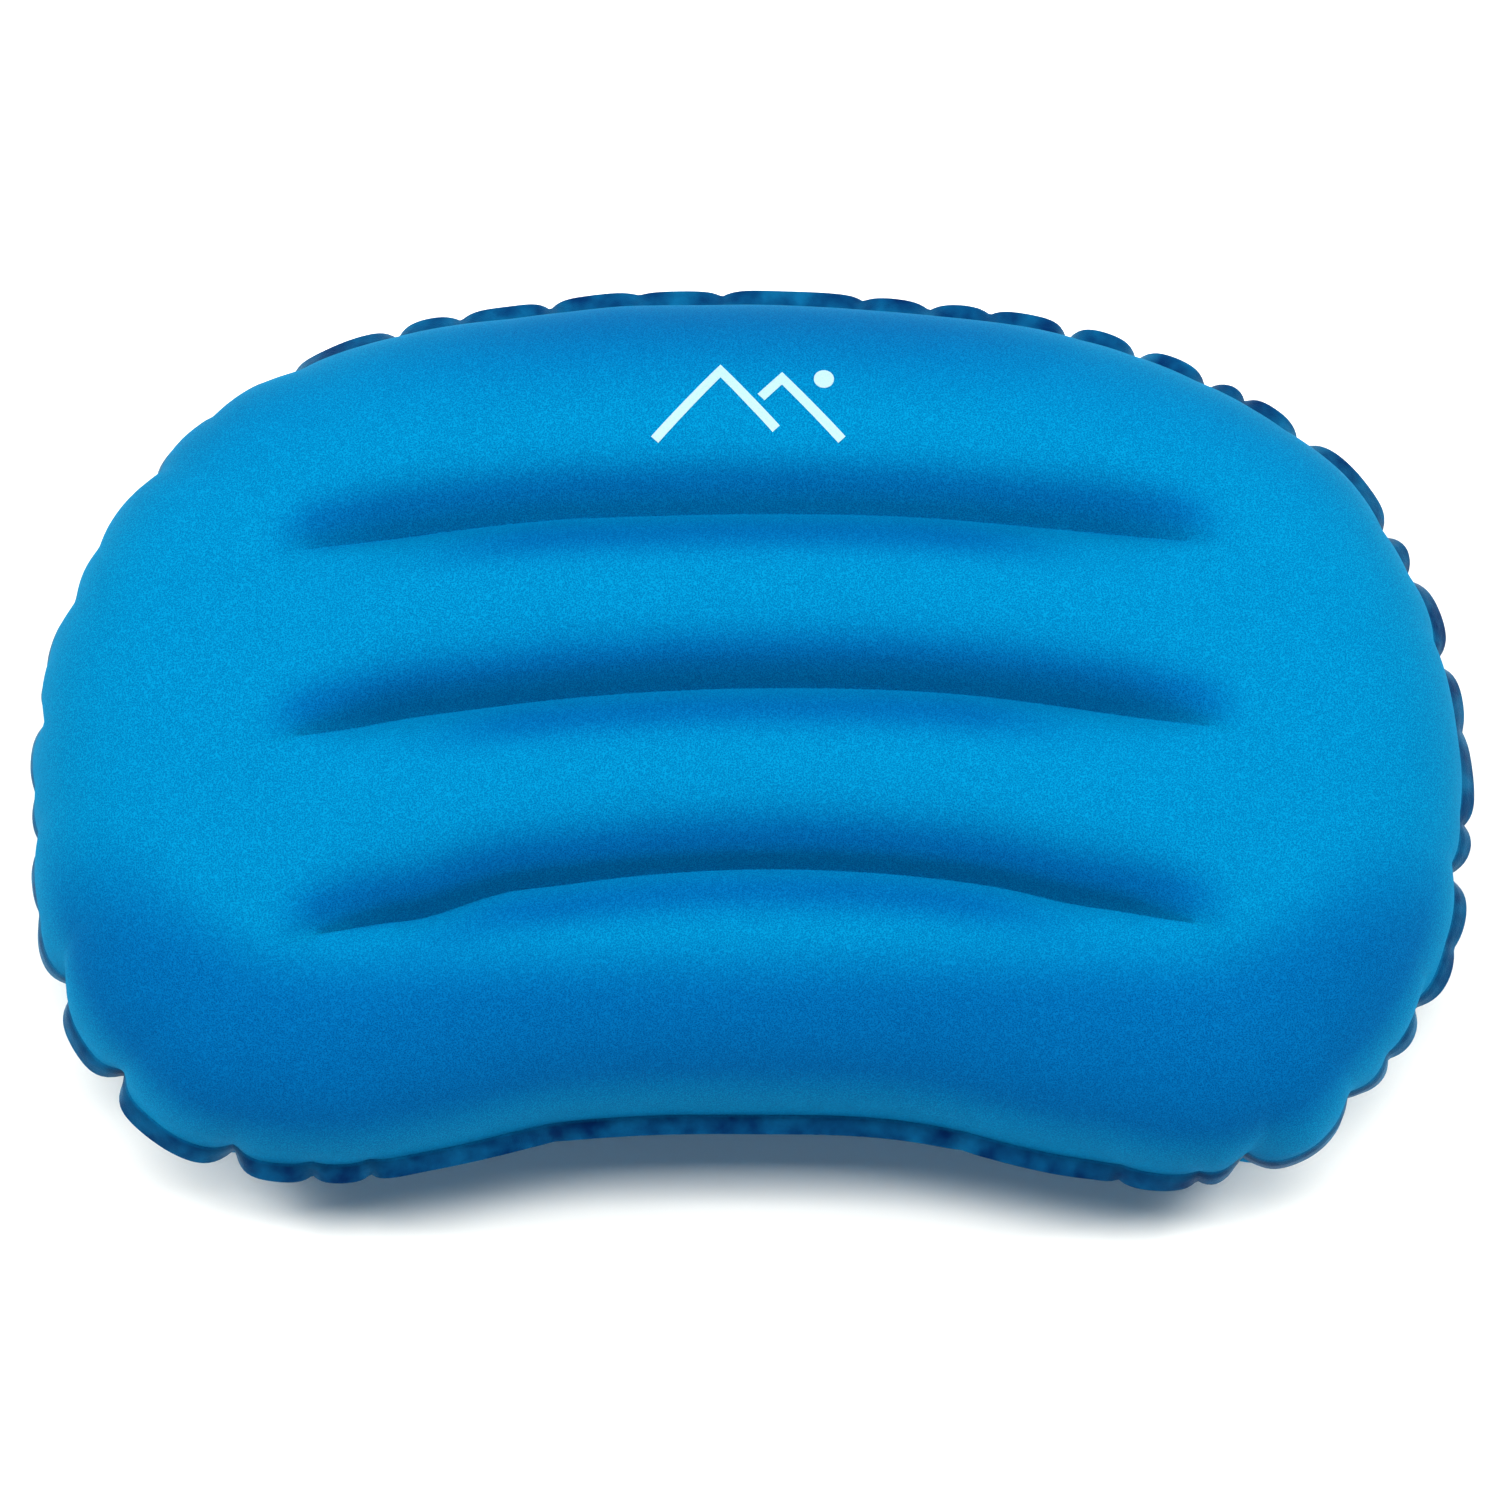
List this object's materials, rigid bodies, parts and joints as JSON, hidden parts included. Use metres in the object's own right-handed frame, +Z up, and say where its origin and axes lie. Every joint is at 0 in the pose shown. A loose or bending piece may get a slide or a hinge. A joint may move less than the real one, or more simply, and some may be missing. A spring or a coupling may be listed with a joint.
{
  "type": "inflatable camp pillow",
  "caption": "Kidney-shaped inflatable camp pillow with a convex head edge, a concave neck recess, arched baffle creases, a welded rim flange and an air valve on its back.",
  "frame": {"origin": "centre of the underside of the bounding box, on the ground under the middle of the pillow lying on its back panel", "axes": "+X along the width, +Y towards the convex head edge, -Y towards the concave neck recess, +Z up through the thickness, out of the printed face"},
  "size_m": [0.4473, 0.2824, 0.1114],
  "materials": {
    "knit_face": "brushed stretch knit laminated to TPU film, matte with a soft sheen",
    "knit_back": "brushed stretch knit laminated to TPU film, matte",
    "tpu_film": "smooth translucent film",
    "valve_body": "satin moulded TPU",
    "valve_ring": "satin moulded TPU",
    "valve_plug": "satin moulded TPU",
    "valve_cap": "satin moulded TPU",
    "silicone": "matte translucent silicone"
  },
  "bodies": {
    "pillow": {"top_panel": "knit_face", "bottom_panel": "knit_back", "baffle_front": "tpu_film", "baffle_middle": "tpu_film", "baffle_rear": "tpu_film", "valve_base": "valve_body", "tether_ring": "valve_ring"},
    "deflate_plug": {"deflate_plug": "valve_plug"},
    "inflate_cap": {"inflate_cap": "valve_cap"},
    "check_flap": {"check_flap": "silicone"}
  },
  "joints": [
    {"name": "deflate_plug_hinge", "type": "hinge", "parent": "pillow", "child": "deflate_plug", "pos_m": [0.20676, 0.0149, 0.02391], "axis": [0.6157, 0, 0.788], "range_deg": [0, 140]},
    {"name": "inflate_cap_hinge", "type": "hinge", "parent": "deflate_plug", "child": "inflate_cap", "pos_m": [0.2085, -0.0106, 0.02255], "axis": [-0.6157, 0, -0.788], "range_deg": [0, 150]},
    {"name": "check_flap_slide", "type": "slide", "parent": "deflate_plug", "child": "check_flap", "axis": [-0.788, 0, 0.6157], "range_m": [0, 0.0012], "stiffness_N_per_m": 20}
  ]
}
